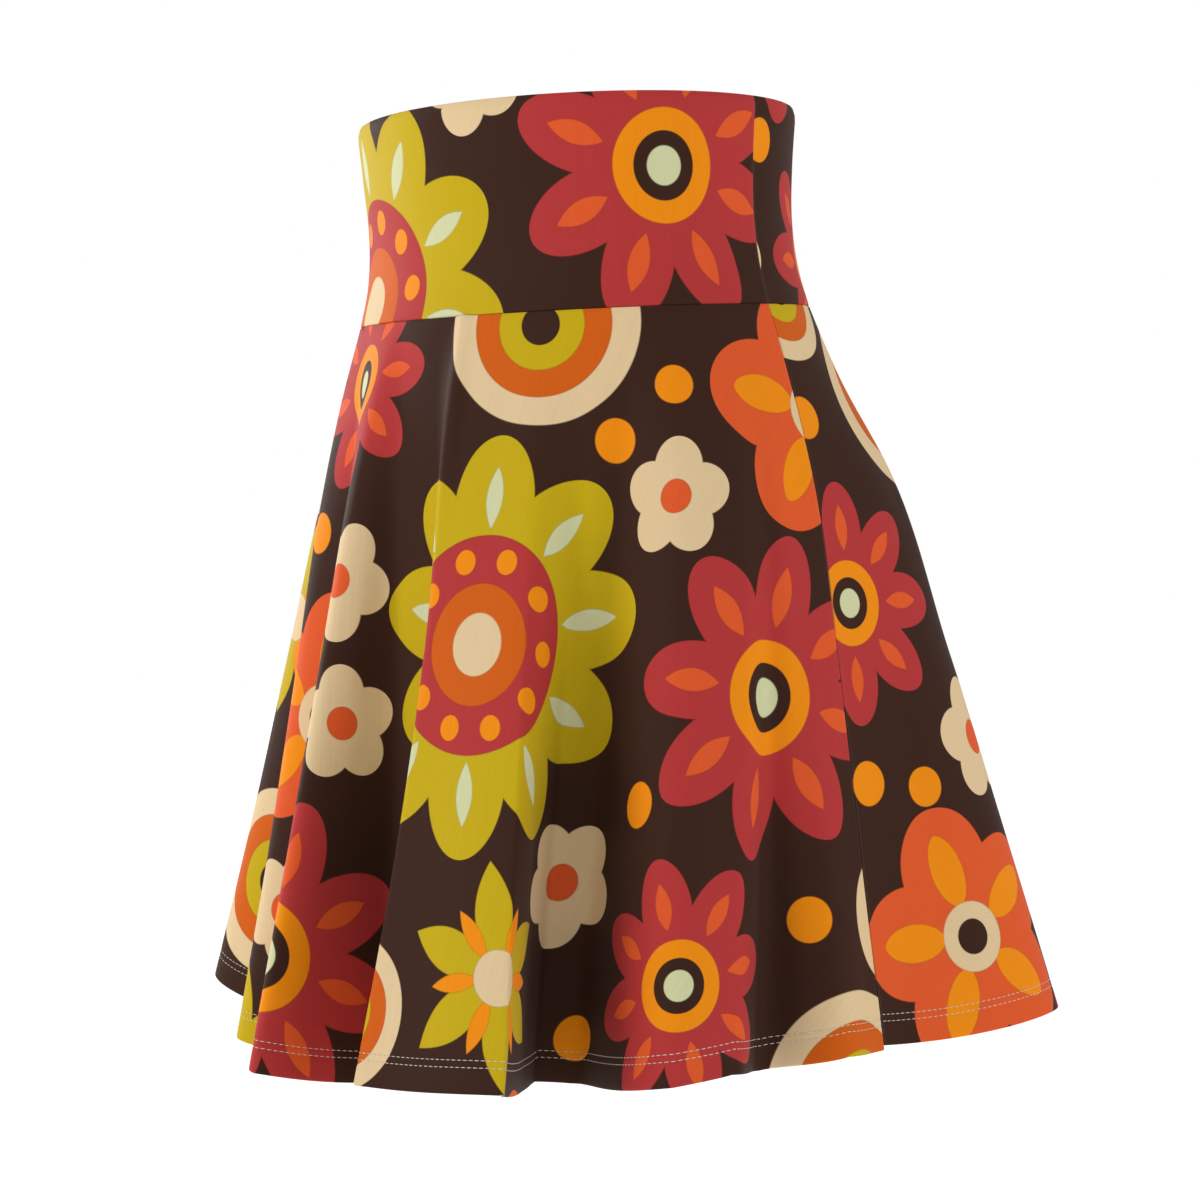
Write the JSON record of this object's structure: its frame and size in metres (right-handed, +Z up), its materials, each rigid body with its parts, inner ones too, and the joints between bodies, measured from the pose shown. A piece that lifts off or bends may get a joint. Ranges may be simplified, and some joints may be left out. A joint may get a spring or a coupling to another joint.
{
  "type": "circle skirt",
  "caption": "Short flared skirt in stretch knit on a wide fitted waistband, hanging in deep soft folds, open at the waist and at the hem.",
  "frame": {"origin": "centre of the natural waist, the narrowest level of the waistband, where the wearer holds the skirt up", "axes": "+Z up along the wearer; the wearer faces -Y; +X is the wearer's left"},
  "size_m": [0.3975, 0.4145, 0.4467],
  "materials": {
    "skirt_knit": "smooth printed stretch knit, soft sheen, large retro flowers on dark brown",
    "band_knit": "the same printed stretch knit, two layers, folded over at the top"
  },
  "bodies": {
    "root": {"waistband_front": "band_knit", "waistband_back": "band_knit", "skirt_front": "skirt_knit", "skirt_back": "skirt_knit"}
  },
  "joints": []
}
